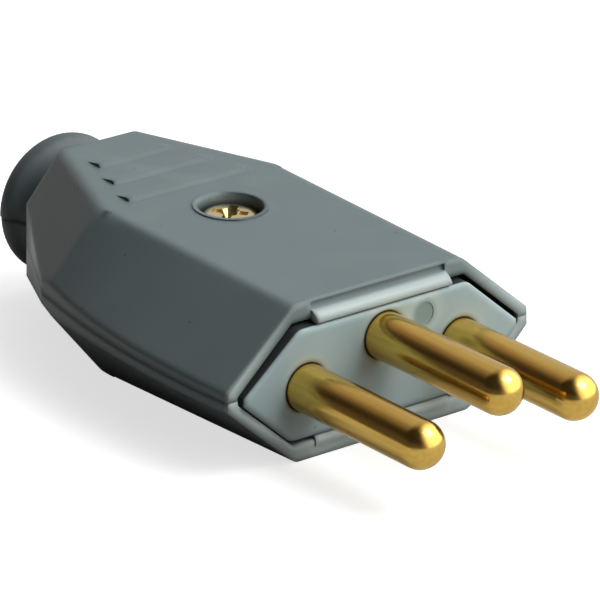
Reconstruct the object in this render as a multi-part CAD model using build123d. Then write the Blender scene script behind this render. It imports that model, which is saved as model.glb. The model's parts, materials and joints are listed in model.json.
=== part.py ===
from build123d import *
import math
import os

# Rewireable three-pin plug, in millimetres.
# It is drawn in the pins' own frame: pins along -Y, parting plane at z = 0,
# face of the front insert at y = 0, centre line at x = 0.
# The last section turns the whole plug by the draft of its underside, so that it
# lies flat, and moves its origin to the middle of its foot.

# Pins
PIN_RADIUS = 2.4
PIN_REACH = 19.0
PIN_PITCH = 19.0
EARTH_OFFSET = 3.0
LINE_LEVEL = -0.35
EARTH_LEVEL = LINE_LEVEL + EARTH_OFFSET
PIN_TIP_BLEND = 2.35
NECK_RADIUS = 2.2
NECK_START = -0.03
SHOULDER_RADIUS = 3.3
SHOULDER_START = 5.0
SHOULDER_END = 6.4
BARREL_RADIUS = 3.1
BARREL_END = 17.0
WIRE_HOLE_RADIUS = 1.75
WIRE_HOLE_DEPTH = 8.6
RUNNING_GAP = 0.05
PINS = {
    "line": (-PIN_PITCH / 2, LINE_LEVEL),
    "neutral": (PIN_PITCH / 2, LINE_LEVEL),
    "earth": (0.0, EARTH_LEVEL),
}

# Terminal screws, as heights above each pin's axis
TERMINAL_Y = 12.6
TERMINAL_SCREW_RADIUS = 1.5
TERMINAL_SCREW_TOP = 3.45
TERMINAL_SCREW_FOOT = 0.6
SLOT_WIDTH = 0.7
SLOT_DEPTH = 0.8

# Outer body
TOP_HALF_FRONT = 10.4
FOOT_HALF_FRONT = 10.8
HALF_GROWTH = 0.010
TOP_FRONT = 7.75
TOP_RISE = 0.022
FOOT_FRONT = 7.8
FOOT_RISE = 0.026
TIP_HALF = {-4.0: 18.95, 13.0: 20.0, 29.0: 18.2, 48.0: 14.3}
SIDE_FLAT_FRONT = 18.1
SIDE_FLAT_MID = 18.85
SIDE_FLAT_MID_Y = 12.0
BEND_TOP = (10.7, 31.0, 8.43)
BEND_TIP = (16.0, 33.3, 1.2)
NECK_TIP = (8.9, 45.4, 3.95)
NECK_Y = 45.4
SPAN = (-3.9, 48.0)
FRONT_SPARE = -3.5
RIM_Y = 0.5
FRONT_LEAN = 4.6
EDGE_BLEND = 1.4
TIP_BLEND = 0.3
NECK_BLEND = 0.4
RIM_BLEND = 0.55

# Walls, and the lips that hold the carrier
WALL_TOP = 1.7
WALL_SIDE = 1.15
CAVITY_END = 44.0
LIP_HALF = 8.3
LIP_DEPTH = 2.6
LIP_REACH = 2.0
NOSE_PROUD = 0.1
NOSE_HEIGHT = 1.2
NOSE_ROUND = 0.25
COVE_RADIUS = 0.4
RIB_X = 4.75
RIB_WIDTH = 1.3
RIB_Y = 8.3
RIB_DEPTH = 1.6

# Carrier and the plate behind it
CARRIER_FACE = 0.0
CARRIER_STEP = LIP_DEPTH
CARRIER_BACK = 4.6
MARK_RADIUS = 1.2
MARK_DEPTH = 0.07
MARK_PLACE = (4.9, 3.6)
FACE_CORNER = 1.5
FACE_BLEND = 0.25
SOCKET_RADIUS = 4.3
GAP_UPPER = 0.5
GAP_LOWER = 0.16
GAP_LIP = 0.15
RETAINER_START = SHOULDER_END
RETAINER_END = 8.3
RETAINER_INSET = 3.0

# Collar and cable entry
WAIST_RADIUS = 6.4
WAIST_END = 47.9
COLLAR_RADIUS = 7.42
COLLAR_STEP = 0.14
COLLAR_MID = 50.9
COLLAR_END = 53.0
CABLE_RADIUS = 4.75
MOUTH_CHAMFER = 0.7

# Body screw and nut
SCREW_Y = 23.8
RECESS_RADIUS = 3.35
RECESS_SEAT = 5.05
RECESS_RIM_WIDTH = 0.4
RECESS_RIM_HEIGHT = 0.13
SHANK_RADIUS = 1.75
SHANK_GAP = 0.15
HEAD_RADIUS = 3.0
HEAD_HEIGHT = 2.1
CROSS_WIDTH = 0.95
CROSS_DEPTH = 1.3
BOSS_RADIUS = 4.7
NUT_FLATS = 6.0
NUT_GAP = 0.1
NUT_HEIGHT = 2.8
NUT_SEAT = -4.7
SCREW_END = -7.8

# Raised grip steps on the top face: front edge and half length of each
GRIP_STEPS = ((30.3, 7.5), (34.7, 6.0), (39.0, 4.5))
GRIP_HEIGHT = 0.3
GRIP_RUN = 2.1

# Cord clamp, with its screws
CLAMP_Y = 36.2
CLAMP_HALF_SPAN = 7.3
CLAMP_SEAT = 1.6
CLAMP_THICK = 2.2
CLAMP_END_RADIUS = 2.4
CLAMP_RIDGE_RADIUS = 5.6
CLAMP_RIDGE_DROP = 0.8
POST_RADIUS = 2.45
SADDLE_LEVEL = -4.6
SADDLE_DEPTH = 3.0
CLAMP_SCREW_RADIUS = 1.45
CLAMP_SCREW_FOOT = -5.5
CLAMP_HEAD_RADIUS = 2.4
CLAMP_HEAD_HEIGHT = 1.6


def cylinder_y(radius, start, end, x=0.0, z=0.0):
    """Round bar along the pins' direction."""
    return Pos(x, (start + end) / 2, z) * Rot(90, 0, 0) * Cylinder(radius, end - start)


def cylinder_z(radius, low, high, x=0.0, y=0.0):
    """Upright round bar."""
    return Pos(x, y, (low + high) / 2) * Cylinder(radius, high - low)


def block(x_range, y_range, z_range):
    """Box between two corners."""
    spans = (x_range, y_range, z_range)
    middle = [(low + high) / 2 for low, high in spans]
    return Pos(*middle) * Box(*[high - low for low, high in spans])


def tip_half(y):
    """Half width of the sharp hexagon at the parting plane."""
    stations = sorted(TIP_HALF.items())
    for (y0, x0), (y1, x1) in zip(stations, stations[1:]):
        if y <= y1:
            return x0 + (x1 - x0) * (y - y0) / (y1 - y0)
    return stations[-1][1]


def top_level(y):
    return TOP_FRONT + TOP_RISE * y


def foot_level(y):
    return -FOOT_FRONT - FOOT_RISE * y


def shift_line(a, b, inset):
    """Line a-b of a clockwise outline, moved inwards, as a point and a direction."""
    run, rise = b[0] - a[0], b[1] - a[1]
    length = math.hypot(run, rise)
    start = (a[0] + rise / length * inset, a[1] - run / length * inset)
    return start, (run, rise)


def meet(line_a, line_b):
    """Point where two lines of a section cross."""
    (a, u), (b, v) = line_a, line_b
    cross = u[0] * v[1] - u[1] * v[0]
    t = ((b[0] - a[0]) * v[1] - (b[1] - a[1]) * v[0]) / cross
    return a[0] + u[0] * t, a[1] + u[1] * t


def hexagon(y, upper=0.0, lower=0.0):
    """Section at y: flanks moved inwards, flats left one millimetre proud."""
    grow = HALF_GROWTH * y
    outline = [
        (-TOP_HALF_FRONT - grow, top_level(y)),
        (TOP_HALF_FRONT + grow, top_level(y)),
        (tip_half(y), 0.0),
        (FOOT_HALF_FRONT + grow, foot_level(y)),
        (-FOOT_HALF_FRONT - grow, foot_level(y)),
        (-tip_half(y), 0.0),
    ]
    insets = [-1.0, upper, lower, -1.0, lower, upper]
    edges = [shift_line(outline[i], outline[(i + 1) % 6], insets[i]) for i in range(6)]
    corners = [meet(edges[i - 1], edges[i]) for i in range(6)]
    return Wire.make_polygon([Vector(x, y, z) for x, z in corners], close=True)


def flank_prism(upper, lower):
    """Loft of the hexagonal sections, open-ended in length."""
    return Solid.make_loft([hexagon(y, upper, lower) for y in sorted(TIP_HALF)], ruled=False)


def side_profile(inset):
    """Sloping top and underside, seen from the side, as a wide solid."""
    front, back = SPAN
    corners = [
        (front, top_level(front) - inset),
        (back, top_level(back) - inset),
        (back, foot_level(back) + inset),
        (front, foot_level(front) + inset),
    ]
    return extrude(Plane.YZ * make_face(Polyline(*corners, close=True)), 40, both=True)


def plan_outline(inset):
    """Curved side flats and the flats behind the bend, seen from above, as a tall solid."""
    front, back = SPAN
    bend, neck = Vector(*BEND_TIP[:2]), Vector(*NECK_TIP[:2])
    along = (neck - bend).normalized()
    inward = Vector(-abs(along.Y), -abs(along.X)) * inset
    bend, neck = bend + inward, neck + inward
    end = neck + along * ((back - neck.Y) / along.Y)
    side = ThreePointArc(
        (SIDE_FLAT_FRONT - inset, front),
        (SIDE_FLAT_MID - inset, SIDE_FLAT_MID_Y),
        (bend.X, bend.Y),
    )
    rest = Polyline(side @ 1, (end.X, end.Y), (0, back), (0, front), side @ 0)
    half = extrude(make_face([side, rest]), 20, both=True)
    return half + mirror(half, about=Plane.YZ)


def facet_normal():
    """Outward normal of the right upper facet behind the bend."""
    a, b, c = Vector(*BEND_TOP), Vector(*BEND_TIP), Vector(*NECK_TIP)
    normal = (b - a).cross(c - a).normalized()
    return normal if normal.X > 0 else normal * -1


def facet_cutters(inset):
    """Blocks that cut the four sloping facets behind the bend."""
    normal = facet_normal()
    plane = Plane(origin=Vector(*NECK_TIP) - normal * inset, z_dir=normal)
    block = plane * Pos(0, 0, 30) * Box(120, 120, 60)
    blocks = [block, mirror(block, about=Plane.XY)]
    return blocks + [mirror(b, about=Plane.YZ) for b in blocks]


def envelope(flat=0.0, upper=0.0, lower=0.0, front=-3.0, back=NECK_Y):
    """Outer form of the body, or an inner one set in by the wall thicknesses."""
    side = max(upper, lower)
    form = flank_prism(upper, lower) & side_profile(flat) & plan_outline(side)
    for cutter in facet_cutters(side):
        form = form - cutter
    return (form & block((-30, 30), (front, back), (-20, 20))).solid()


def front_trim():
    """Everything in front of the rim, which leans back towards the top."""
    return Pos(0, RIM_Y, 0) * Rot(-FRONT_LEAN, 0, 0) * block((-30, 30), (-20, 0), (-30, 30))


def rim_at(z):
    """Where the leaning front plane stands at a height."""
    return RIM_Y + math.tan(math.radians(FRONT_LEAN)) * z


def rounded_envelope():
    """Outer form with its front trimmed and its moulded edges rounded."""
    form = (envelope(front=FRONT_SPARE) - front_trim()).solid()
    free = [e for e in form.edges() if 1 < e.center().Y < NECK_Y - 0.01]
    broad = [e for e in free if e.length > 2 and (abs(e.center().Z) > 5 or abs(e.center().Z) < 0.5)]
    form = fillet(broad, EDGE_BLEND).solid()
    form = fillet(form.faces().sort_by(Axis.Y)[-1].edges(), NECK_BLEND).solid()
    form = fillet(form.faces().sort_by(Axis.Y)[0].edges(), RIM_BLEND).solid()
    long = [e for e in form.edges() if e.length > 8 and 1 < e.center().Y < NECK_Y - 0.01]
    return fillet([e for e in long if 0.6 < abs(e.center().Z) < 3.6], TIP_BLEND).solid()


def collar(radius):
    """Waist and flared collar, turned about the pins' direction."""
    waist = Line((CAVITY_END, WAIST_RADIUS), (WAIST_END, WAIST_RADIUS))
    flare = ThreePointArc(
        waist @ 1, ((WAIST_END + COLLAR_MID) / 2 + 0.35, WAIST_RADIUS + 0.35), (COLLAR_MID - 0.5, radius - 0.1))
    crown = ThreePointArc(flare @ 1, (COLLAR_MID + 0.9, radius - 0.05), (COLLAR_END, radius - 1.2))
    close = Polyline(crown @ 1, (COLLAR_END, 0), (CAVITY_END, 0), waist @ 0)
    profile = Plane.YZ * make_face([waist, flare, crown, close])
    return revolve(profile, Axis.Y)


def lip(side, outer):
    """Thick lip across the opening, its rounded nose, and the cove above the upper nose."""
    level = (top_level(0) if side > 0 else -foot_level(0)) - LIP_REACH
    slab = block((-LIP_HALF, LIP_HALF), (-1, LIP_DEPTH), (level, 12))
    root = level + NOSE_HEIGHT
    back = rim_at(side * root) + 0.1
    front = min(-NOSE_PROUD, back - 0.15)
    under = Line((LIP_DEPTH, level), (front + NOSE_ROUND, level))
    tip = ThreePointArc(
        under @ 1, (front + 0.3 * NOSE_ROUND, level + 0.3 * NOSE_ROUND), (front, level + NOSE_ROUND))
    middle = ((front + back) / 2 - 0.12, (level + NOSE_ROUND + root) / 2 + 0.12)
    slope = ThreePointArc(tip @ 1, middle, (back, root))
    close = Polyline(slope @ 1, (LIP_DEPTH, root), under @ 0)
    nose = extrude(Plane.YZ * make_face([under, tip, slope, close]), LIP_HALF, both=True)
    cove = Pos(0, back - 0.1, root + COVE_RADIUS * 0.8) * Rot(0, 90, 0) * Cylinder(COVE_RADIUS, 2 * LIP_HALF)
    if side < 0:
        slab, nose, cove = [mirror(p, about=Plane.XY) for p in (slab, nose, cove)]
    return slab & outer, nose, cove


def shell_blank(side, radius):
    """Hollow half of the body with its half collar. side is 1 for the upper, -1 for the lower."""
    outer = rounded_envelope()
    half = block((-30, 30), (-20, 70), (0, 20)) if side > 0 else block((-30, 30), (-20, 70), (-20, 0))
    cavity = envelope(WALL_TOP, WALL_SIDE, WALL_SIDE, SPAN[0], CAVITY_END)
    slab, nose, cove = lip(side, outer)
    body = outer + collar(radius)
    body = body - cavity + slab - front_trim()
    if side > 0:
        body = body - cove
    body = body + nose
    body = body - cylinder_y(CABLE_RADIUS, CAVITY_END - 2, COLLAR_END + 1)
    mouth = Pos(0, COLLAR_END, 0) * Rot(90, 0, 0) * Cone(
        CABLE_RADIUS + 2 * MOUTH_CHAMFER, CABLE_RADIUS, 2 * MOUTH_CHAMFER)
    return (body - mouth) & half


def carrier_ribs(side):
    """Two ribs that stop the plate behind the pins' shoulders."""
    ribs = [block((x - RIB_WIDTH / 2, x + RIB_WIDTH / 2), (RIB_Y, RIB_Y + RIB_DEPTH), (0, 9))
            for x in (-RIB_X, RIB_X)]
    if side < 0:
        ribs = [mirror(r, about=Plane.XY) for r in ribs]
    return ribs


def grip_step(front, half):
    """Low wedge: a steep front edge, with its top falling away to the rear."""
    base = 0.4
    profile = Polyline(
        (front, top_level(front) - base),
        (front, top_level(front)),
        (front + 0.15, top_level(front) + GRIP_HEIGHT),
        (front + 0.55, top_level(front + 0.55) + GRIP_HEIGHT),
        (front + GRIP_RUN, top_level(front + GRIP_RUN)),
        (front + GRIP_RUN, top_level(front + GRIP_RUN) - base),
        close=True,
    )
    return extrude(Plane.YZ * make_face(profile), half, both=True)


def recess_plane():
    """Plane of the top face at the screw."""
    return Plane(origin=(0, SCREW_Y, top_level(SCREW_Y)), z_dir=(0, -TOP_RISE, 1))


def within(part, flat, side, front, back):
    """Part of a piece that lies inside the shells' outer form, moved in by a wall."""
    return part & envelope(flat, side, side, front, back)


def make_upper_shell():
    body = shell_blank(1, COLLAR_RADIUS)
    inside = [cylinder_z(BOSS_RADIUS, 0, 9, 0, SCREW_Y)] + carrier_ribs(1)
    for piece in inside:
        body = body + within(piece, 0.5, 0.5, FRONT_SPARE, NECK_Y)
    for front, half in GRIP_STEPS:
        body = body + grip_step(front, half)
    plane = recess_plane()
    ring = plane * Cylinder(RECESS_RADIUS + RECESS_RIM_WIDTH, 2 * RECESS_RIM_HEIGHT)
    body = body + ring
    body = body - cylinder_z(RECESS_RADIUS, RECESS_SEAT, 12, 0, SCREW_Y)
    return body - cylinder_z(SHANK_RADIUS + SHANK_GAP, -1, 12, 0, SCREW_Y)


def hexagon_bar(flats, low, high):
    """Upright hexagonal bar at the body screw."""
    profile = RegularPolygon(flats / 2, 6, major_radius=False)
    return Pos(0, SCREW_Y, low) * extrude(profile, high - low)


def make_lower_shell():
    body = shell_blank(-1, COLLAR_RADIUS - COLLAR_STEP)
    inside = [cylinder_z(BOSS_RADIUS, -9, 0, 0, SCREW_Y)] + carrier_ribs(-1)
    saddle = block((-CLAMP_HALF_SPAN, CLAMP_HALF_SPAN), (CLAMP_Y - SADDLE_DEPTH / 2, CLAMP_Y + SADDLE_DEPTH / 2),
                   (-9, SADDLE_LEVEL + 1.5))
    saddle = saddle - cylinder_y(CABLE_RADIUS + 0.4, 30, 46, 0, SADDLE_LEVEL + CABLE_RADIUS + 0.4)
    inside.append(saddle)
    for piece in inside:
        body = body + within(piece, 0.5, 0.5, FRONT_SPARE, NECK_Y)
    for x in (-CLAMP_HALF_SPAN, CLAMP_HALF_SPAN):
        post = cylinder_z(POST_RADIUS, -9, CLAMP_SEAT, x, CLAMP_Y)
        body = body + within(post, 0.5, 0.5, FRONT_SPARE, NECK_Y)
        body = body - cylinder_z(CLAMP_SCREW_RADIUS, CLAMP_SCREW_FOOT - 0.5, 9, x, CLAMP_Y)
    body = body - hexagon_bar(NUT_FLATS + 2 * NUT_GAP, -12, NUT_SEAT)
    return body - cylinder_z(SHANK_RADIUS + SHANK_GAP, -12, 1, 0, SCREW_Y)


def pin_bores(radius, start, end):
    """Three bars along the pins' axes."""
    return [cylinder_y(radius, start, end, x, z) for x, z in PINS.values()]


def make_pin_carrier():
    """Front insert: face between the lips, flange behind them, sockets behind that."""
    upper, lower = WALL_SIDE + GAP_UPPER, WALL_SIDE + GAP_LOWER
    face = envelope(0.0, upper, lower, CARRIER_FACE, CARRIER_STEP)
    top = top_level(0) - LIP_REACH - GAP_LIP
    foot = foot_level(0) + LIP_REACH + GAP_LIP
    face = (face & block((-30, 30), (-1, 10), (foot, top))).solid()
    corners = [e for e in face.edges() if abs(e.tangent_at(0.5).Y) > 0.9 and abs(e.center().Z) > 3]
    face = fillet(corners, FACE_CORNER)
    face = fillet(face.faces().sort_by(Axis.Y)[0].edges(), FACE_BLEND)
    flange = envelope(WALL_TOP + GAP_LIP, upper, lower, CARRIER_STEP, CARRIER_BACK)
    body = face + flange
    room = envelope(WALL_TOP + GAP_LIP, upper, upper, CARRIER_BACK - 1, RETAINER_START)
    for bar in pin_bores(SOCKET_RADIUS, CARRIER_BACK - 0.5, SHOULDER_END):
        body = body + (bar & room)
    for bar in pin_bores(SHOULDER_RADIUS + RUNNING_GAP, SHOULDER_START, SHOULDER_END + 1):
        body = body - bar
    for bar in pin_bores(PIN_RADIUS + RUNNING_GAP, -1, SHOULDER_START + 1):
        body = body - bar
    mark_x, mark_z = MARK_PLACE
    return body - cylinder_y(MARK_RADIUS, CARRIER_FACE - 1, CARRIER_FACE + MARK_DEPTH, mark_x, mark_z)


def make_pin_retainer():
    """Plate behind the shoulders, with a hole round each terminal barrel."""
    plate = envelope(RETAINER_INSET, RETAINER_INSET, RETAINER_INSET, RETAINER_START, RETAINER_END)
    for x, z in PINS.values():
        plate = plate + (cylinder_y(SOCKET_RADIUS, RETAINER_START, RETAINER_END, x, z)
                         & envelope(WALL_TOP + GAP_LIP, 1.8, 1.8, RETAINER_START, RETAINER_END))
    for bar in pin_bores(BARREL_RADIUS + RUNNING_GAP, RETAINER_START - 1, RETAINER_END + 1):
        plate = plate - bar
    return plate


def make_pin(x, z):
    """Turned brass pin: round tip, thinner neck, shoulder, and a bored terminal barrel."""
    nose = cylinder_y(PIN_RADIUS, CARRIER_FACE - PIN_REACH, NECK_START, x, z)
    rim = nose.edges().group_by(Axis.Y)[0]
    nose = fillet(rim, PIN_TIP_BLEND)
    body = nose + cylinder_y(NECK_RADIUS, NECK_START, SHOULDER_START, x, z)
    body = body + cylinder_y(SHOULDER_RADIUS, SHOULDER_START, SHOULDER_END, x, z)
    body = body + cylinder_y(BARREL_RADIUS, SHOULDER_END, BARREL_END, x, z)
    body = body - cylinder_y(WIRE_HOLE_RADIUS, BARREL_END - WIRE_HOLE_DEPTH, BARREL_END + 1, x, z)
    return body - cylinder_z(TERMINAL_SCREW_RADIUS, z, z + 6, x, TERMINAL_Y)


def make_terminal_screw(x, z):
    """Slotted set screw that clamps the wire in a terminal barrel."""
    top = z + TERMINAL_SCREW_TOP
    screw = cylinder_z(TERMINAL_SCREW_RADIUS, z + TERMINAL_SCREW_FOOT, top, x, TERMINAL_Y)
    ends = screw.edges().filter_by(GeomType.CIRCLE)
    screw = chamfer(ends, 0.2)
    slot = block((x - 3, x + 3), (TERMINAL_Y - SLOT_WIDTH / 2, TERMINAL_Y + SLOT_WIDTH / 2), (top - SLOT_DEPTH, top + 1))
    return screw - slot


def pan_screw(x, y, seat, foot, shank, head, height, cross):
    """Pan-head screw with a cross recess, standing on its seat level."""
    body = cylinder_z(head, seat, seat + height, x, y)
    crown = body.edges().group_by(Axis.Z)[-1]
    body = fillet(crown, height * 0.55)
    stem = cylinder_z(shank, foot, seat, x, y)
    stem = chamfer(stem.edges().group_by(Axis.Z)[0], shank * 0.3)
    body = body + stem
    for turn in (45, 135):
        arm = Rot(0, 0, turn) * Box(head * 1.15, cross, 2 * CROSS_DEPTH)
        body = body - Pos(x, y, seat + height) * arm
    return body


def make_body_screw():
    return pan_screw(0, SCREW_Y, RECESS_SEAT, SCREW_END, SHANK_RADIUS, HEAD_RADIUS, HEAD_HEIGHT, CROSS_WIDTH)


def make_body_nut():
    nut = hexagon_bar(NUT_FLATS, NUT_SEAT - NUT_HEIGHT, NUT_SEAT)
    return nut - cylinder_z(SHANK_RADIUS, -12, 0, 0, SCREW_Y)


def make_cord_clamp():
    """Bar across the cord, with a rounded ridge under its middle."""
    low, high = CLAMP_SEAT, CLAMP_SEAT + CLAMP_THICK
    bar = SlotCenterToCenter(2 * CLAMP_HALF_SPAN, 2 * CLAMP_END_RADIUS)
    bar = Pos(0, CLAMP_Y, low) * extrude(bar, CLAMP_THICK)
    ridge = cylinder_y(CLAMP_RIDGE_RADIUS, CLAMP_Y - CLAMP_END_RADIUS, CLAMP_Y + CLAMP_END_RADIUS,
                       0, low - CLAMP_RIDGE_DROP + CLAMP_RIDGE_RADIUS)
    bar = bar + (ridge & block((-4.4, 4.4), (30, 46), (-9, low + 0.5)))
    for x in (-CLAMP_HALF_SPAN, CLAMP_HALF_SPAN):
        bar = bar - cylinder_z(CLAMP_SCREW_RADIUS + 0.1, -9, 9, x, CLAMP_Y)
    return bar


def make_clamp_screw(x):
    seat = CLAMP_SEAT + CLAMP_THICK
    return pan_screw(x, CLAMP_Y, seat, CLAMP_SCREW_FOOT, CLAMP_SCREW_RADIUS, CLAMP_HEAD_RADIUS,
                     CLAMP_HEAD_HEIGHT, CROSS_WIDTH * 0.8)


def all_pieces():
    """Every piece by name, in the pins' frame."""
    pieces = {
        "upper_shell": make_upper_shell(),
        "lower_shell": make_lower_shell(),
        "pin_carrier": make_pin_carrier(),
        "pin_retainer": make_pin_retainer(),
        "body_screw": make_body_screw(),
        "body_nut": make_body_nut(),
        "cord_clamp": make_cord_clamp(),
        "clamp_screw_left": make_clamp_screw(-CLAMP_HALF_SPAN),
        "clamp_screw_right": make_clamp_screw(CLAMP_HALF_SPAN),
    }
    for name, (x, z) in PINS.items():
        pieces["pin_" + name] = make_pin(x, z)
        pieces["terminal_screw_" + name] = make_terminal_screw(x, z)
    return pieces


def lay_flat(pieces):
    """Turn the plug onto its underside, and put the origin under the middle of its box."""
    turn = Rot(math.degrees(math.atan(FOOT_RISE)), 0, 0)
    turned = {name: turn * piece for name, piece in pieces.items()}
    box = Compound(children=[copy for copy in turned.values()]).bounding_box()
    middle = (box.min.Y + box.max.Y) / 2
    print(f"origin moves by y {-middle:.4f}, z {-box.min.Z:.4f}")
    return {name: Pos(0, -middle, -box.min.Z) * piece for name, piece in turned.items()}


if __name__ == "__main__":
    os.makedirs("parts", exist_ok=True)
    for name, piece in lay_flat(all_pieces()).items():
        solids = piece.solids()
        print(f"{name}: {len(solids)} solid, {piece.volume:.1f} mm3, valid {piece.is_valid}")
        export_step(solids[0] if len(solids) == 1 else Compound(children=solids), f"parts/{name}.step")
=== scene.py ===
# %% [markdown]
# # A rewireable three-pin plug
# The plug is a grey body in two screwed halves, a lighter insert across its front, three polished
# brass pins and a round collar for the cord. Its solids come ready made, at their real size. This
# script gives each surface its finish, rounds the long edges of the two halves, forms the head of
# the body screw, and sets up the camera and a small studio.

# %% Load the solids
import bpy
import json
import math
import mathutils
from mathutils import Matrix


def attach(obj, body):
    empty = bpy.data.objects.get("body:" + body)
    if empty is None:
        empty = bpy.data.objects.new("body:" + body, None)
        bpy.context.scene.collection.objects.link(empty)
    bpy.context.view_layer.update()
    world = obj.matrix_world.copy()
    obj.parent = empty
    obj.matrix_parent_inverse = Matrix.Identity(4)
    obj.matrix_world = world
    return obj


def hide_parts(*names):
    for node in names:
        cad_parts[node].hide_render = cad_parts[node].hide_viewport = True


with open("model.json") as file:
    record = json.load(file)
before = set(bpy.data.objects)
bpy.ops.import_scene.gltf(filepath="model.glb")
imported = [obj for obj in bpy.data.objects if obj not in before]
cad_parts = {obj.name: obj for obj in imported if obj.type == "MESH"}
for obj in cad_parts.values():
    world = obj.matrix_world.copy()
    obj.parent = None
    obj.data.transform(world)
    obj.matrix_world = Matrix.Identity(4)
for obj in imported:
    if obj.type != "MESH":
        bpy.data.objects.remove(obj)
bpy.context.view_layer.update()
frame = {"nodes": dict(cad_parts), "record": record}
nodes = frame["nodes"]
MM = 0.001
print("nodes:", ", ".join(sorted(nodes)))

# %% [markdown]
# ## The plug's own direction
# The plug lies on its sloping underside, so its pins point a little down. The record gives the
# direction of the pins and one point on each. Everything that is built along a pin or square to
# the parting plane uses these values, so that it can't drift from the solids. The plug's own frame
# starts where the parting plane meets the insert's face. Its y runs back along the plug.

# %% Directions taken from the record
EARTH_POINT_AHEAD = 8.35
EARTH_PIN_ABOVE = 2.65

mounts = {mount["name"]: mount for mount in frame["record"]["mounts"]}
pin_axis = mathutils.Vector(mounts["pin_earth"]["axis"]).normalized()
across = mathutils.Vector((1, 0, 0))
plug_up = across.cross(-pin_axis).normalized()
plug_tilt = math.atan2(-pin_axis.z, -pin_axis.y)
earth_point = mathutils.Vector(mounts["pin_earth"]["pos_m"])
earth_root = earth_point - EARTH_POINT_AHEAD * MM * pin_axis
plug_origin = earth_root - EARTH_PIN_ABOVE * MM * plug_up
plug_turn = mathutils.Matrix.Rotation(plug_tilt, 4, "X")
plug_frame = mathutils.Matrix.Translation(plug_origin) @ plug_turn
print("pins point", round(math.degrees(plug_tilt), 2), "degrees below level")

# %% [markdown]
# ## Camera
# A long lens far away shows the plug almost without perspective, as in a catalogue. The camera
# stands to the front and left of the plug and looks down on it by about twenty degrees. It turns
# a little about its own line of sight, so that the plug sits in the frame at the photo's slant.

# %% Camera
VIEW_FROM = mathutils.Vector((-313.67, -390.58, 202.39)) * MM
VIEW_AZIMUTH = math.radians(39.08)
VIEW_ELEVATION = math.radians(21.126)
VIEW_ROLL = math.radians(0.179)
SENSOR = 36.0
LENS = 330.0

forward = mathutils.Vector((
    math.sin(VIEW_AZIMUTH) * math.cos(VIEW_ELEVATION),
    math.cos(VIEW_AZIMUTH) * math.cos(VIEW_ELEVATION),
    -math.sin(VIEW_ELEVATION),
))
level_right = mathutils.Vector((math.cos(VIEW_AZIMUTH), -math.sin(VIEW_AZIMUTH), 0))
level_up = level_right.cross(forward)
view_right = level_right * math.cos(VIEW_ROLL) + level_up * math.sin(VIEW_ROLL)
view_up = view_right.cross(forward)
view_turn = mathutils.Matrix((view_right, view_up, -forward)).transposed()

bpy.ops.object.camera_add(location=VIEW_FROM)
camera = bpy.context.object
camera.name = "view"
camera.rotation_euler = view_turn.to_euler()
camera.data.sensor_width = SENSOR
camera.data.lens = LENS
camera.data.clip_end = 10
bpy.context.scene.camera = camera
bpy.context.scene.view_settings.view_transform = "Standard"
print("camera", [round(v, 3) for v in camera.location], "lens", LENS)

# %% [markdown]
# ## Helpers for shaders
# Materials and the world are trees of small nodes. These helpers add one node each and take
# numbers, colours or the outputs of earlier nodes, so that a tree reads like a calculation.

# %% Helpers for shaders
def new_material(name):
    """Node material with its tree and its surface shader."""
    material = bpy.data.materials.new(name)
    material.use_nodes = True
    tree = material.node_tree
    return material, tree, tree.nodes["Principled BSDF"]


def feed(tree, value, socket):
    """Give a socket a number, a colour of three numbers or the output of another node."""
    if isinstance(value, tuple):
        socket.default_value = (*value, 1)
    elif isinstance(value, (int, float)):
        socket.default_value = value
    else:
        tree.links.new(value, socket)


def math_node(tree, operation, first=0.0, second=0.0, third=0.0):
    """One step of arithmetic."""
    made = tree.nodes.new("ShaderNodeMath")
    made.operation = operation
    for socket, value in zip(made.inputs, (first, second, third)):
        feed(tree, value, socket)
    return made.outputs[0]


def ramp(tree, value, low, high, start=0.0, end=1.0):
    """Smooth step of a value between two limits."""
    made = tree.nodes.new("ShaderNodeMapRange")
    made.interpolation_type = "SMOOTHSTEP"
    tree.links.new(value, made.inputs["Value"])
    limits = (("From Min", low), ("From Max", high), ("To Min", start), ("To Max", end))
    for name, number in limits:
        made.inputs[name].default_value = number
    return made.outputs["Result"]


def blend(tree, share, first, second):
    """Mix of two colours."""
    made = tree.nodes.new("ShaderNodeMix")
    made.data_type = "RGBA"
    feed(tree, first, made.inputs["A"])
    feed(tree, second, made.inputs["B"])
    tree.links.new(share, made.inputs["Factor"])
    return made.outputs["Result"]


def noise(tree, place, scale, detail, distortion=0.0):
    """Soft noise over a place, from 0 to 1."""
    made = tree.nodes.new("ShaderNodeTexNoise")
    tree.links.new(place, made.inputs["Vector"])
    feed(tree, scale, made.inputs["Scale"])
    made.inputs["Detail"].default_value = detail
    made.inputs["Distortion"].default_value = distortion
    return made.outputs["Fac"]


print("helpers: new_material, feed, math_node, ramp, blend, noise")

# %% [markdown]
# ## Floor
# A round pale sheet runs under the plug and carries its soft shadow. A real white sheet throws so
# much light back that the undersides of the plug would lose their depth. So this one is pale to
# the camera and to reflections, and dark in the light that it passes on. A glow that only the
# camera sees lifts the sheet to plain white and keeps the shadow pale.

# %% Floor
FLOOR_RADIUS, FLOOR_SIDES = 4.0, 96
FLOOR_DROP = 0.02 * MM
FLOOR_SEEN = (0.56, 0.56, 0.56)
FLOOR_PASSED_ON = (0.19, 0.17, 0.165)
FLOOR_GLOW = 0.68

bpy.ops.object.select_all(action="DESELECT")
bpy.ops.mesh.primitive_circle_add(
    vertices=FLOOR_SIDES, radius=FLOOR_RADIUS, fill_type="NGON", location=(0, 0, -FLOOR_DROP))
floor = bpy.context.object
floor.name = "floor"

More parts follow.
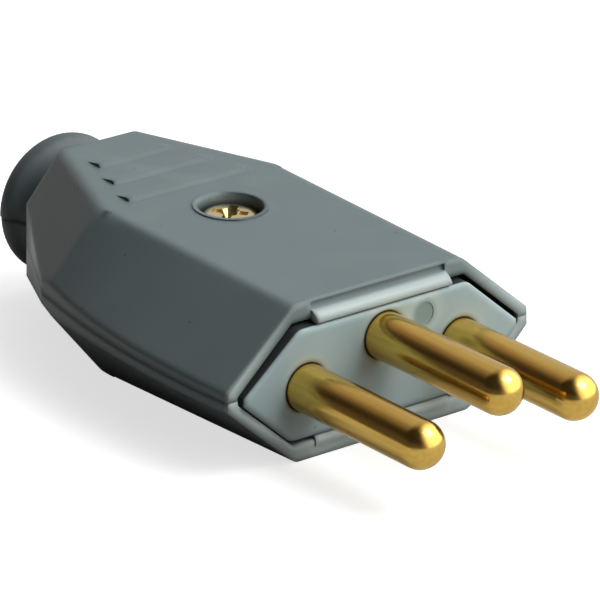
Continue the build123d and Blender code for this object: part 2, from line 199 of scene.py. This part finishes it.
floor_material, tree, shader = new_material("white_sheet")
ray = tree.nodes.new("ShaderNodeLightPath")
seen = math_node(tree, "MAXIMUM", ray.outputs["Is Camera Ray"], ray.outputs["Is Glossy Ray"])
seen = math_node(tree, "MAXIMUM", seen, ray.outputs["Is Transmission Ray"])
sheet = blend(tree, seen, FLOOR_PASSED_ON, FLOOR_SEEN)
tree.links.new(sheet, shader.inputs["Base Color"])
shader.inputs["Roughness"].default_value = 0.7
shader.inputs["Specular IOR Level"].default_value = 0.1
shader.inputs["Emission Color"].default_value = (1, 1, 1, 1)
glowing = math_node(tree, "MULTIPLY", ray.outputs["Is Camera Ray"], FLOOR_GLOW)
tree.links.new(glowing, shader.inputs["Emission Strength"])
floor.data.materials.append(floor_material)
print("floor of", FLOOR_RADIUS, "m radius")

# %% [markdown]
# ## Light
# The tips of polished pins show their surroundings like small mirrors. The world is built from a
# few parts for them: a wide white wall to the right and in front, a low bright horizon that fades
# on the left, and a soft glow behind the plug on the right. All else is a dark room, and the left
# side is a little warmer. So the insert and the top are lit, and the left flank, which faces the
# dark room, stays deep grey.

# %% World
WALL_SIDE = mathutils.Vector((0.8, -0.6, 0.45)).normalized()
GLOW_SIDE = mathutils.Vector((0.62, 0.70, 0.36)).normalized()
DARK_SIDE = mathutils.Vector((-0.93, 0.36, 0.0))
DARK_TINT = (1.0, 0.82, 0.80)
ROOM, HORIZON, WALL, GLOW = 0.03, 0.6, 2.1, 0.55
WALL_FADE, GLOW_FADE = (0.3, 0.85), (0.35, 1.0)
HORIZON_HEIGHT, HORIZON_FADE, HORIZON_LEFT = (0.28, 0.46), (-0.75, 0.25), 0.1
TINT_FADE = (-0.2, 0.5)

world = bpy.data.worlds.new("studio")
bpy.context.scene.world = world
world.use_nodes = True
sky = world.node_tree
background = sky.nodes["Background"]
look = sky.nodes.new("ShaderNodeTexCoord")


def facing(side):
    """How far a direction of the world points to one side, from -1 to 1."""
    toward = sky.nodes.new("ShaderNodeVectorMath")
    toward.operation = "DOT_PRODUCT"
    toward.inputs[1].default_value = side
    sky.links.new(look.outputs["Generated"], toward.inputs[0])
    return toward.outputs["Value"]


height = sky.nodes.new("ShaderNodeSeparateXYZ")
sky.links.new(look.outputs["Generated"], height.inputs[0])
wall = ramp(sky, facing(WALL_SIDE), *WALL_FADE, 0.0, WALL)
glow = ramp(sky, facing(GLOW_SIDE), *GLOW_FADE, 0.0, GLOW)
low = ramp(sky, height.outputs["Z"], *HORIZON_HEIGHT, HORIZON, 0.0)
kept = ramp(sky, facing(DARK_SIDE), *HORIZON_FADE, 1.0, HORIZON_LEFT)
low = math_node(sky, "MULTIPLY", low, kept)
strength = math_node(sky, "MAXIMUM", wall, low)
strength = math_node(sky, "MAXIMUM", strength, glow)
strength = math_node(sky, "ADD", strength, ROOM)
sky.links.new(strength, background.inputs["Strength"])
tint = blend(sky, ramp(sky, facing(DARK_SIDE), *TINT_FADE), (1.0, 1.0, 1.0), DARK_TINT)
sky.links.new(tint, background.inputs["Color"])
print("world:", world.name)

# %% [markdown]
# The main light is one soft window, a square area lamp. It stands high in front of the plug on the
# right and throws the soft shadow to the left and back.

# %% Window
WINDOW_PLACE = mathutils.Vector((0.32, -0.42, 0.74))
WINDOW_AIM = mathutils.Vector((0, 0, 0.01))
WINDOW_SIZE, WINDOW_POWER = 0.5, 3.9
WINDOW_COLOUR = (0.93, 1.0, 1.0)

bpy.ops.object.light_add(type="AREA", location=WINDOW_PLACE)
window = bpy.context.object
window.name = "window"
window.data.size = WINDOW_SIZE
window.data.energy = WINDOW_POWER
window.data.color = WINDOW_COLOUR
sight = WINDOW_AIM - WINDOW_PLACE
window.rotation_euler = sight.to_track_quat("-Z", "Y").to_euler()
print("lamp:", window.name, WINDOW_POWER, "W")

# %% [markdown]
# ## Groups of shader nodes
# A pattern that several finishes share is built once, as a group with its own inputs and outputs.

# %% Helper for groups
FLOAT, COLOUR, VECTOR = "NodeSocketFloat", "NodeSocketColor", "NodeSocketVector"


def new_group(name, inputs, outputs):
    """Group with its two end nodes. Inputs are (name, kind, value), outputs (name, kind)."""
    group = bpy.data.node_groups.new(name, "ShaderNodeTree")
    for label, kind, value in inputs:
        socket = group.interface.new_socket(label, in_out="INPUT", socket_type=kind)
        socket.default_value = value
    for label, kind in outputs:
        group.interface.new_socket(label, in_out="OUTPUT", socket_type=kind)
    return group, group.nodes.new("NodeGroupInput"), group.nodes.new("NodeGroupOutput")


print("kinds of socket:", FLOAT, COLOUR, VECTOR)

# %% [markdown]
# ## Moulded plastic
# The two halves come from a mould whose walls were spark eroded to a fine satin grain. Up close
# such a surface has a grain of about a tenth of a millimetre and faint flow marks. The flow marks
# change the colour and the gloss together.

# %% Grain group
GRAIN_DETAIL = 3
FLOW_SCALE, FLOW_DETAIL = 160, 4
FLOW_LOW, FLOW_HIGH = 0.3, 0.7

grain, given, result = new_group(
    "moulded_grain",
    [("Scale", FLOAT, 9000.0), ("Shade", COLOUR, (0.2, 0.2, 0.2, 1)),
     ("Roughness", FLOAT, 0.5), ("Mottle", FLOAT, 0.1)],
    [("Height", FLOAT), ("Color", COLOUR), ("Roughness", FLOAT)],
)
place = grain.nodes.new("ShaderNodeTexCoord").outputs["Object"]
fine = noise(grain, place, given.outputs["Scale"], GRAIN_DETAIL)
grain.links.new(fine, result.inputs["Height"])

swing = grain.nodes.new("ShaderNodeMapRange")
swing.inputs["From Min"].default_value = FLOW_LOW
swing.inputs["From Max"].default_value = FLOW_HIGH
swing.inputs["To Min"].default_value = -1.0
grain.links.new(noise(grain, place, FLOW_SCALE, FLOW_DETAIL), swing.inputs["Value"])
amount = math_node(grain, "MULTIPLY_ADD", swing.outputs["Result"], given.outputs["Mottle"], 1.0)
shade = grain.nodes.new("ShaderNodeVectorMath")
shade.operation = "SCALE"
grain.links.new(given.outputs["Shade"], shade.inputs[0])
grain.links.new(amount, shade.inputs["Scale"])
grain.links.new(shade.outputs["Vector"], result.inputs["Color"])
sheen = math_node(grain, "MULTIPLY", amount, given.outputs["Roughness"])
grain.links.new(sheen, result.inputs["Roughness"])
print("group:", grain.name)

# %% [markdown]
# No moulded edge is quite sharp. The bevel node turns the surface's direction near every edge, as
# if the edge were rounded, and leaves the shape as it is. The grain goes on top of that direction.

# %% Moulded plastic
EDGE_RADIUS, EDGE_SAMPLES = 1.1 * MM, 8
GRAIN_HEIGHT = 0.003 * MM


def moulded_plastic(name, shade, roughness, grain_scale, grain_height, mottle):
    """Grained plastic, with its tree, its shader and the outputs for its colour and gloss."""
    material, tree, shader = new_material(name)
    surface = tree.nodes.new("ShaderNodeGroup")
    surface.node_tree = grain
    surface.inputs["Scale"].default_value = grain_scale
    surface.inputs["Shade"].default_value = (*shade, 1)
    surface.inputs["Roughness"].default_value = roughness
    surface.inputs["Mottle"].default_value = mottle
    soft = tree.nodes.new("ShaderNodeBevel")
    soft.samples = EDGE_SAMPLES
    soft.inputs["Radius"].default_value = EDGE_RADIUS
    bump = tree.nodes.new("ShaderNodeBump")
    bump.inputs["Strength"].default_value = 1.0
    bump.inputs["Distance"].default_value = grain_height
    tree.links.new(soft.outputs["Normal"], bump.inputs["Normal"])
    tree.links.new(surface.outputs["Height"], bump.inputs["Height"])
    tree.links.new(surface.outputs["Color"], shader.inputs["Base Color"])
    tree.links.new(surface.outputs["Roughness"], shader.inputs["Roughness"])
    tree.links.new(bump.outputs["Normal"], shader.inputs["Normal"])
    return material, tree, shader, surface.outputs["Color"], surface.outputs["Roughness"]


clamp_plastic = moulded_plastic(
    "clamp_plastic", (0.10, 0.11, 0.11),
    roughness=0.45, grain_scale=7000, grain_height=0.004 * MM, mottle=0.06)[0]
print("plastic:", clamp_plastic.name)

# %% [markdown]
# ## Place on the plug
# Some finishes follow parts of the plug, such as its lips or the rings round its pins. A group
# gives the place of each point in the plug's own frame, in mm, so that a mask can be written with
# the same numbers as the solids.

# %% Place on the plug
place_group, given, result = new_group(
    "plug_place", [("Unit", FLOAT, 1 / MM)], [("Place", VECTOR)])
raw = place_group.nodes.new("ShaderNodeTexCoord")
turned = place_group.nodes.new("ShaderNodeVectorRotate")
turned.rotation_type = "X_AXIS"
turned.inputs["Center"].default_value = plug_origin
turned.inputs["Angle"].default_value = -plug_tilt
place_group.links.new(raw.outputs["Object"], turned.inputs["Vector"])
moved = place_group.nodes.new("ShaderNodeVectorMath")
moved.operation = "SUBTRACT"
moved.inputs[1].default_value = plug_origin
place_group.links.new(turned.outputs["Vector"], moved.inputs[0])
sized = place_group.nodes.new("ShaderNodeVectorMath")
sized.operation = "SCALE"
place_group.links.new(moved.outputs["Vector"], sized.inputs[0])
place_group.links.new(given.outputs["Unit"], sized.inputs["Scale"])
place_group.links.new(sized.outputs["Vector"], result.inputs["Place"])


def plug_place(tree):
    """x across, y along and z up on the plug, in mm."""
    made = tree.nodes.new("ShaderNodeGroup")
    made.node_tree = place_group
    split = tree.nodes.new("ShaderNodeSeparateXYZ")
    tree.links.new(made.outputs["Place"], split.inputs[0])
    return split.outputs["X"], split.outputs["Y"], split.outputs["Z"]


def away_from(tree, first, second, centre):
    """Distance in mm from a straight line that shows as one point in two of the plug's axes."""
    side = math_node(tree, "SUBTRACT", first, centre[0])
    rise = math_node(tree, "SUBTRACT", second, centre[1])
    square = math_node(tree, "MULTIPLY_ADD", side, side, math_node(tree, "MULTIPLY", rise, rise))
    return math_node(tree, "SQRT", square)


print("group:", place_group.name)

# %% [markdown]
# ## Specks and faint rubs
# A plug that has been handled carries a few dark specks, and its grain is rubbed paler and shinier
# in cloudy areas. The specks are the centres of a few cells of a Voronoi pattern.

# %% Specks and faint rubs
SPECK_EDGE, SPECK_CORE = 0.09, 0.05
SPECK_SHADE, SPECK_SHARE = (0.03, 0.03, 0.03), 0.6
RUB_SCALE, RUB_DETAIL, RUB_DISTORTION = 70, 6, 1.5
RUB_LOW, RUB_HIGH = 0.5, 0.75
RUB_GLOSS = -0.2

specks, given, result = new_group(
    "handling_specks",
    [("Scale", FLOAT, 450.0), ("Share", FLOAT, 0.3)],
    [("Dark", FLOAT), ("Rub", FLOAT)],
)
place = specks.nodes.new("ShaderNodeTexCoord").outputs["Object"]
spots = specks.nodes.new("ShaderNodeTexVoronoi")
specks.links.new(place, spots.inputs["Vector"])
specks.links.new(given.outputs["Scale"], spots.inputs["Scale"])
chance = specks.nodes.new("ShaderNodeSeparateColor")
specks.links.new(spots.outputs["Color"], chance.inputs["Color"])
chosen = math_node(specks, "LESS_THAN", chance.outputs["Red"], given.outputs["Share"])
spot = ramp(specks, spots.outputs["Distance"], SPECK_EDGE, SPECK_CORE)
specks.links.new(math_node(specks, "MULTIPLY", spot, chosen), result.inputs["Dark"])
cloud = noise(specks, place, RUB_SCALE, RUB_DETAIL, RUB_DISTORTION)
specks.links.new(ramp(specks, cloud, RUB_LOW, RUB_HIGH), result.inputs["Rub"])


def handled(tree, colour, gloss, rub_shade, rub_share):
    """Colour and roughness with a few dark specks and paler, shinier rubbed areas."""
    marks = tree.nodes.new("ShaderNodeGroup")
    marks.node_tree = specks
    rub = math_node(tree, "MULTIPLY", marks.outputs["Rub"], rub_share)
    speck = math_node(tree, "MULTIPLY", marks.outputs["Dark"], SPECK_SHARE)
    colour = blend(tree, rub, colour, rub_shade)
    colour = blend(tree, speck, colour, SPECK_SHADE)
    return colour, math_node(tree, "MULTIPLY_ADD", rub, RUB_GLOSS, gloss)


print("group:", specks.name)

# %% [markdown]
# ## Finish of the two halves
# The mould's sliding core polishes the two lips that hold the insert and the rim beside them, so
# they are smoother than the satin flanks, and a painted highlight makes them lighter. The collar is
# duller and darker with painted shade, most of all at its front, and the deep recess round the
# screw gets painted shade too. Masks by place give the same piece all these finishes.

# %% Shell plastic
SHELL_SHADE = (0.121, 0.160, 0.165)
SHELL_RUB_SHADE = (0.17, 0.20, 0.20)
# Painted highlight on the lips and the rim.
LIP_PAINTED_HIGHLIGHT = (0.34, 0.40, 0.39)
# Painted shade on the collar, strongest at its waist.
COLLAR_PAINTED_SHADE = (0.040, 0.048, 0.050)
# Painted shade on the walls of the recess round the screw.
RECESS_PAINTED_SHADE = (0.02, 0.025, 0.025)
LIP_GLOSS, COLLAR_GLOSS = -0.12, 0.35
SCREW_PLACE = (0.0, 23.8)

shell_plastic, tree, shader, colour, gloss = moulded_plastic(
    "shell_plastic", SHELL_SHADE,
    roughness=0.36, grain_scale=9000, grain_height=GRAIN_HEIGHT, mottle=0.03)
colour, gloss = handled(tree, colour, gloss, SHELL_RUB_SHADE, 0.3)
x, y, z = plug_place(tree)
beside = math_node(tree, "ABSOLUTE", x)

# The collar starts at about y 46 and gets painted shade, darkest up to y 47.4.
collar_start = ramp(tree, y, 45.2, 46.2, 0.0, 0.8)
collar_rear = ramp(tree, y, 47.4, 48.8, 1.0, 0.65)
on_collar = math_node(tree, "MULTIPLY", collar_start, collar_rear)
colour = blend(tree, on_collar, colour, COLLAR_PAINTED_SHADE)
gloss = math_node(tree, "MULTIPLY_ADD", on_collar, COLLAR_GLOSS, gloss)

# The recess has a radius of 3.35 mm and goes down from the top face, at about z 8. Its walls get
# painted shade.
recess_round = ramp(tree, away_from(tree, x, y, SCREW_PLACE), 3.5, 3.4)
in_recess = math_node(tree, "MULTIPLY", recess_round, ramp(tree, z, 8.1, 6.8))
colour = blend(tree, in_recess, colour, RECESS_PAINTED_SHADE)

# The lips reach to about x 8.2 and get a painted highlight. The rim beyond them takes a little less
# of it, and of their gloss.
on_rim = ramp(tree, y, 1.2, 0.6)
on_lip = math_node(tree, "MULTIPLY", on_rim, ramp(tree, beside, 9.2, 8.2, 0.8, 1.0))
tree.links.new(blend(tree, on_lip, colour, LIP_PAINTED_HIGHLIGHT), shader.inputs["Base Color"])
gloss = math_node(tree, "MULTIPLY_ADD", on_lip, LIP_GLOSS, gloss)
tree.links.new(gloss, shader.inputs["Roughness"])
print("plastic:", shell_plastic.name)

# %% [markdown]
# ## Finish of the insert
# The insert shows faint lighter rings round the pins, where the moulded plastic shrank from the hot
# brass, and a thin dark line where each pin leaves it. A small round mark shows where a pin of the
# mould pushed it out. Its side walls stand in the narrow gap to the shells, where no light gets in,
# so they get an almost black painted shade, and so do its upper corners under the lips.

# %% Insert plastic
INSERT_SHADE = (0.29, 0.375, 0.385)
INSERT_RUB_SHADE = (0.36, 0.43, 0.42)
PALE_SHADE = (0.50, 0.58, 0.54)
PIN_LINE_SHADE = (0.02, 0.02, 0.015)
EJECTOR_SHADE = (0.16, 0.23, 0.22)
# Painted shade for the side walls in the gap and for the upper corners under the lips.
GAP_PAINTED_SHADE, GAP_SHARE, GAP_GLOSS = (0.004, 0.004, 0.004), 0.97, 0.5
PIN_PLACES = ((-9.5, -0.35), (9.5, -0.35), (0.0, 2.65))
EJECTOR_PLACE = (4.9, 3.6)

carrier_plastic, tree, shader, colour, gloss = moulded_plastic(
    "carrier_plastic", INSERT_SHADE,
    roughness=0.42, grain_scale=6000, grain_height=GRAIN_HEIGHT, mottle=0.03)
colour, gloss = handled(tree, colour, gloss, INSERT_RUB_SHADE, 0.4)
x, y, z = plug_place(tree)
beside = math_node(tree, "ABSOLUTE", x)

nearest = away_from(tree, x, z, PIN_PLACES[0])
for centre in PIN_PLACES[1:]:
    nearest = math_node(tree, "MINIMUM", nearest, away_from(tree, x, z, centre))
colour = blend(tree, ramp(tree, nearest, 3.6, 2.6, 0.0, 0.28), colour, PALE_SHADE)
colour = blend(tree, ramp(tree, nearest, 2.62, 2.45, 0.0, 0.9), colour, PIN_LINE_SHADE)
mark = away_from(tree, x, z, EJECTOR_PLACE)
colour = blend(tree, ramp(tree, mark, 3.2, 1.6, 0.0, 0.3), colour, PALE_SHADE)
colour = blend(tree, ramp(tree, mark, 1.9, 0.8, 0.0, 0.85), colour, EJECTOR_SHADE)

# The face is at y 0. The side walls behind it and the upper corners, beyond x 8.35 and z 5.7, in
# the shadow of the lip, get a painted shade.
side_walls = ramp(tree, y, 0.12, 0.4)
in_corner = math_node(
    tree, "MULTIPLY", ramp(tree, beside, 8.35, 8.6), ramp(tree, z, 5.7, 5.85))
in_gap = math_node(tree, "MAXIMUM", side_walls, in_corner)
colour = blend(tree, math_node(tree, "MULTIPLY", in_gap, GAP_SHARE), colour, GAP_PAINTED_SHADE)
tree.links.new(colour, shader.inputs["Base Color"])
gloss = math_node(tree, "MULTIPLY_ADD", in_gap, GAP_GLOSS, gloss)
tree.links.new(gloss, shader.inputs["Roughness"])
print("plastic:", carrier_plastic.name)

# %% [markdown]
# ## Metals
# The pins are turned from brass bar and polished along their length, so they mirror the studio in
# faint long streaks of two shades. Where one polished face mirrors another, the mirrored brass
# gets a painted darker reflection, because such places are deep brown in the photo.

# %% Pins
BRASS_YELLOW, BRASS_DEEP = (0.82, 0.54, 0.13), (0.76, 0.46, 0.095)
BRASS_PAINTED_DARK_REFLECTION, MIRRORED_SHARE = (0.16, 0.08, 0.02), 0.7
STREAK_STRETCH = (2.2, 0.12, 2.2)
STREAK_SCALE, STREAK_DETAIL = 1.0, 5
PIN_ROUGHNESS, STREAK_ROUGHNESS = 0.17, 0.07

pin_brass, tree, shader = new_material("pin_brass")
shader.inputs["Metallic"].default_value = 1
drawn = tree.nodes.new("ShaderNodeCombineXYZ")
for socket, value, stretch in zip(drawn.inputs, plug_place(tree), STREAK_STRETCH):
    tree.links.new(math_node(tree, "MULTIPLY", value, stretch), socket)
streak = noise(tree, drawn.outputs[0], STREAK_SCALE, STREAK_DETAIL)
share = ramp(tree, streak, 0.35, 0.7)
colour = blend(tree, share, BRASS_YELLOW, BRASS_DEEP)
# Seen in a reflection, the brass gets a painted darker colour.
ray = tree.nodes.new("ShaderNodeLightPath")
mirrored = math_node(tree, "MULTIPLY", ray.outputs["Is Glossy Ray"], MIRRORED_SHARE)
tree.links.new(blend(tree, mirrored, colour, BRASS_PAINTED_DARK_REFLECTION), shader.inputs["Base Color"])
gloss = math_node(tree, "MULTIPLY_ADD", share, STREAK_ROUGHNESS, PIN_ROUGHNESS)
tree.links.new(gloss, shader.inputs["Roughness"])
print("metal:", pin_brass.name)

# %% [markdown]
# The terminal screws are plain turned brass. The other screws and the nut are steel with a thin
# coat of yellow zinc.

# %% Plain metals
def bare_metal(name, colour, roughness):
    """Metal with a plain colour."""
    material, tree, shader = new_material(name)
    shader.inputs["Base Color"].default_value = (*colour, 1)
    shader.inputs["Metallic"].default_value = 1
    shader.inputs["Roughness"].default_value = roughness
    return material


terminal_brass = bare_metal("terminal_brass", (0.66, 0.44, 0.15), 0.35)
zinc_steel = bare_metal("zinc_steel", (0.80, 0.66, 0.36), 0.2)
print("metals:", terminal_brass.name, zinc_steel.name)

# %% [markdown]
# ## Helpers for modelling
# The new pieces are modelled with Blender's own tools, in the plug's own frame, where the parting
# plane is level. Edit tools work on what is selected, so one helper selects faces or edges by a
# test.

# %% Helpers for modelling
def only(piece):
    """Select one object and make it active."""
    bpy.ops.object.select_all(action="DESELECT")
    piece.select_set(True)
    bpy.context.view_layer.objects.active = piece


def pick(piece, wanted, mode="FACE"):
    """Enter edit mode with the faces or edges selected whose test passes."""
    only(piece)
    bpy.ops.object.mode_set(mode="EDIT")
    bpy.ops.mesh.select_mode(type=mode)
    bpy.ops.mesh.select_all(action="DESELECT")
    bpy.ops.object.mode_set(mode="OBJECT")
    mesh = piece.data
    for item in (mesh.polygons if mode == "FACE" else mesh.edges):
        item.select = wanted(mesh, item)
    bpy.ops.object.mode_set(mode="EDIT")


def done():
    """Leave edit mode."""
    bpy.ops.object.mode_set(mode="OBJECT")


def combine(piece, other, operation):
    """Cut or join another closed piece into this one."""
    only(piece)
    step = piece.modifiers.new("combine", "BOOLEAN")
    step.operation = operation
    step.solver = "EXACT"
    step.object = other
    bpy.ops.object.modifier_apply(modifier=step.name)
    bpy.data.objects.remove(other)


print("helpers: only, pick, done, combine")

# %% [markdown]
# ## Rounded long edges
# A moulded body has no sharp outer edge. The solids round their rear facets, but the long edges
# between top, foot and flanks are sharp. A bevel would have to run over many slim triangles here,
# so each edge is cut instead, as a router does: the cutter is a bar with a hollow round face that
# touches both sides of the edge. An edge is given by its two ends in mm and the directions that its
# two faces look in. The left edges are the mirror image of the right ones.

# %% Cutter for a long edge
ROUND_RADIUS, ROUND_SIDES = 1.4, 96
BAR_SPARE, HOLLOW_SPARE = 0.3, 2
LONG_EDGES = {
    "upper_shell": ((10.41, 0.0, 7.75), (10.69, 29.2, 8.39), (0, -0.022, 1), (0.649, 0, 0.761)),
    "lower_shell": (
        (10.80, -0.2, -7.80), (11.08, 27.9, -8.53), (0, -0.026, -1), (0.671, 0, -0.742)),
}


def edge_cutter(start, end, first, second):
    """Bar with a hollow round face along an edge between two faces, given by their normals."""
    start, end = mathutils.Vector(start), mathutils.Vector(end)
    first, second = mathutils.Vector(first).normalized(), mathutils.Vector(second).normalized()
    along = (end - start).normalized()
    outward = (first + second).normalized()
    half = first.angle(second) / 2
    side = along.cross(outward).normalized()
    outward = side.cross(along).normalized()
    axis = (start + end) / 2 - outward * ROUND_RADIUS / math.cos(half)
    low, high = ROUND_RADIUS * math.cos(half), ROUND_RADIUS / math.cos(half) + BAR_SPARE
    length = (end - start).length
    bpy.ops.object.select_all(action="DESELECT")
    bpy.ops.mesh.primitive_cube_add(size=1, location=(0, 0, (low + high) / 2))
    bar = bpy.context.object
    bar.scale = (2 * ROUND_RADIUS * math.sin(half) + BAR_SPARE, length, high - low)
    bpy.ops.object.transform_apply(location=True, rotation=True, scale=True)
    bpy.ops.object.select_all(action="DESELECT")
    bpy.ops.mesh.primitive_cylinder_add(
        vertices=ROUND_SIDES, radius=ROUND_RADIUS, depth=length + HOLLOW_SPARE,
        rotation=(math.pi / 2, 0, 0))
    hollow = bpy.context.object
    bpy.ops.object.transform_apply(location=True, rotation=True, scale=True)
    combine(bar, hollow, "DIFFERENCE")
    turn_to = mathutils.Matrix((side, along, outward)).transposed().to_4x4()
    to_mm = mathutils.Matrix.Scale(MM, 4)
    bar.data.transform(plug_frame @ to_mm @ mathutils.Matrix.Translation(axis) @ turn_to)
    return bar


print("edges to round:", 2 * len(LONG_EDGES))

# %% [markdown]
# Each shell is a welded copy of its solid with both long edges cut. The copy takes the solid's
# place, so the outline becomes round too.

# %% Shells with rounded edges
WELD_REACH = 0.0005 * MM


def rounded_shell(node, name):
    """Welded copy of one shell with its two long edges rounded."""
    piece = bpy.data.objects.new(name, nodes[node].data.copy())
    bpy.context.scene.collection.objects.link(piece)
    pick(piece, lambda mesh, face: True)
    bpy.ops.mesh.remove_doubles(threshold=WELD_REACH)
    done()
    for hand in (1, -1):
        values = [(x * hand, y, z) for x, y, z in LONG_EDGES[node]]
        combine(piece, edge_cutter(*values), "DIFFERENCE")
    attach(piece, "root")
    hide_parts(node)
    print(name, "faces:", len(piece.data.polygons))
    return piece


shells = [rounded_shell("upper_shell", "shell_upper"), rounded_shell("lower_shell", "shell_lower")]

# %% [markdown]
# ## Body screw
# The screw has a pan head with a cross recess. A cylinder gets a rounded crown by bevelling its
# upper rim. Its shank ends in a small chamfer that leads it into the nut.

# %% Head and shank
SCREW_Y, HEAD_FOOT, HEAD_TOP, SHANK_END = 23.8, 5.05, 7.7, -7.8
HEAD_RADIUS, HEAD_SIDES = 3.0, 64
SHANK_RADIUS, SHANK_SIDES, SHANK_IN_HEAD = 1.75, 48, 0.5
CROWN, CROWN_STEPS, CROWN_PROFILE = 1.15, 7, 0.55
CHAMFER = 0.35
LEVEL_REACH = 0.01


def rod(radius, low, high, sides):
    """Upright cylinder on the screw's axis, in mm."""
    bpy.ops.object.select_all(action="DESELECT")
    bpy.ops.mesh.primitive_cylinder_add(
        vertices=sides, radius=radius * MM, depth=(high - low) * MM,
        location=(0, SCREW_Y * MM, (low + high) / 2 * MM))
    bpy.ops.object.transform_apply(location=True, rotation=True, scale=True)
    return bpy.context.object


def edge_level(mesh, edge):
    """Heights of an edge's two ends in mm."""
    return [mesh.vertices[index].co.z / MM for index in edge.vertices]


body_screw = rod(HEAD_RADIUS, HEAD_FOOT, HEAD_TOP, HEAD_SIDES)
pick(body_screw, lambda mesh, edge: min(edge_level(mesh, edge)) > HEAD_TOP - LEVEL_REACH, "EDGE")
bpy.ops.mesh.bevel(offset=CROWN * MM, segments=CROWN_STEPS, profile=CROWN_PROFILE)
done()
shank = rod(SHANK_RADIUS, SHANK_END, HEAD_FOOT + SHANK_IN_HEAD, SHANK_SIDES)
pick(shank, lambda mesh, edge: max(edge_level(mesh, edge)) < SHANK_END + LEVEL_REACH, "EDGE")
bpy.ops.mesh.bevel(offset=CHAMFER * MM, segments=1)
done()
combine(body_screw, shank, "UNION")
print("head and shank faces:", len(body_screw.data.polygons))

# %% [markdown]
# The recess is cut with a cross of two tapered wings and a cone for the driver's point, as the
# punch forms it. Then the screw moves from the plug's own frame to its place.

# %% Cross recess
WING_SIZE = (3.7, 0.95, 1.5)
WING_DEPTH, WING_TAPER = 0.65, 0.6
CROSS_TURN = math.radians(38)
POINT_TIP, POINT_TOP, POINT_LENGTH, POINT_DEPTH = 0.15, 1.05, 1.9, 0.9
HEAD_SMOOTH_BELOW = math.radians(40)

for quarter in (0, math.pi / 2):
    bpy.ops.object.select_all(action="DESELECT")
    bpy.ops.mesh.primitive_cube_add(size=1, location=(0, 0, 0))
    wing = bpy.context.object
    wing.scale = [size * MM for size in WING_SIZE]
    wing.rotation_euler = (0, 0, quarter + CROSS_TURN)
    wing.location = (0, SCREW_Y * MM, (HEAD_TOP - WING_DEPTH) * MM)
    bpy.ops.object.transform_apply(location=True, rotation=True, scale=True)
    pick(wing, lambda mesh, face: face.normal.z < -0.5)
    bpy.ops.transform.resize(
        value=(WING_TAPER, WING_TAPER, 1), center_override=(0, SCREW_Y * MM, HEAD_TOP * MM))
    done()
    combine(body_screw, wing, "DIFFERENCE")
bpy.ops.object.select_all(action="DESELECT")
bpy.ops.mesh.primitive_cone_add(
    vertices=24, radius1=POINT_TIP * MM, radius2=POINT_TOP * MM, depth=POINT_LENGTH * MM,
    location=(0, SCREW_Y * MM, (HEAD_TOP - POINT_DEPTH) * MM))
point = bpy.context.object
bpy.ops.object.transform_apply(location=True, rotation=True, scale=True)
combine(body_screw, point, "DIFFERENCE")
body_screw.name = "screw_cross_recess"
body_screw.data.transform(plug_frame)
only(body_screw)
bpy.ops.object.shade_smooth_by_angle(angle=HEAD_SMOOTH_BELOW)
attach(body_screw, "root")
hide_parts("body_screw")
body_screw.data.materials.append(zinc_steel)
print("screw faces:", len(body_screw.data.polygons))

# %% [markdown]
# ## A finish for each node
# The record says which finish each node has. The solids come as triangles with sharp shading, so
# three modifiers smooth it: a weld joins the seams, a split keeps the edges that are sharper than
# 28 degrees, and weighted normals let large faces look flat. The solids' own meshes stay as they
# are.

# %% Finish for each node
SMOOTH_BELOW = math.radians(28)
FLAT_WEIGHT = 50

finishes = {
    "shell_plastic": shell_plastic,
    "carrier_plastic": carrier_plastic,
    "clamp_plastic": clamp_plastic,
    "pin_brass": pin_brass,
    "terminal_brass": terminal_brass,
    "zinc_steel": zinc_steel,
}
slot_of = {part["node"]: part["material_slot"] for part in frame["record"]["subparts"]}

dressed = [(piece, finishes[slot_of[name]]) for name, piece in nodes.items()]
for piece, material in dressed + [(piece, shell_plastic) for piece in shells]:
    piece.data.materials.clear()
    piece.data.materials.append(material)
    for face in piece.data.polygons:
        face.use_smooth = True
    weld = piece.modifiers.new("weld", "WELD")
    weld.merge_threshold = WELD_REACH
    crease = piece.modifiers.new("crease", "EDGE_SPLIT")
    crease.split_angle = SMOOTH_BELOW
    crease.use_edge_sharp = False
    flatten = piece.modifiers.new("flatten", "WEIGHTED_NORMAL")
    flatten.weight = FLAT_WEIGHT
print("finished", len(nodes), "nodes and", len(shells), "shells")
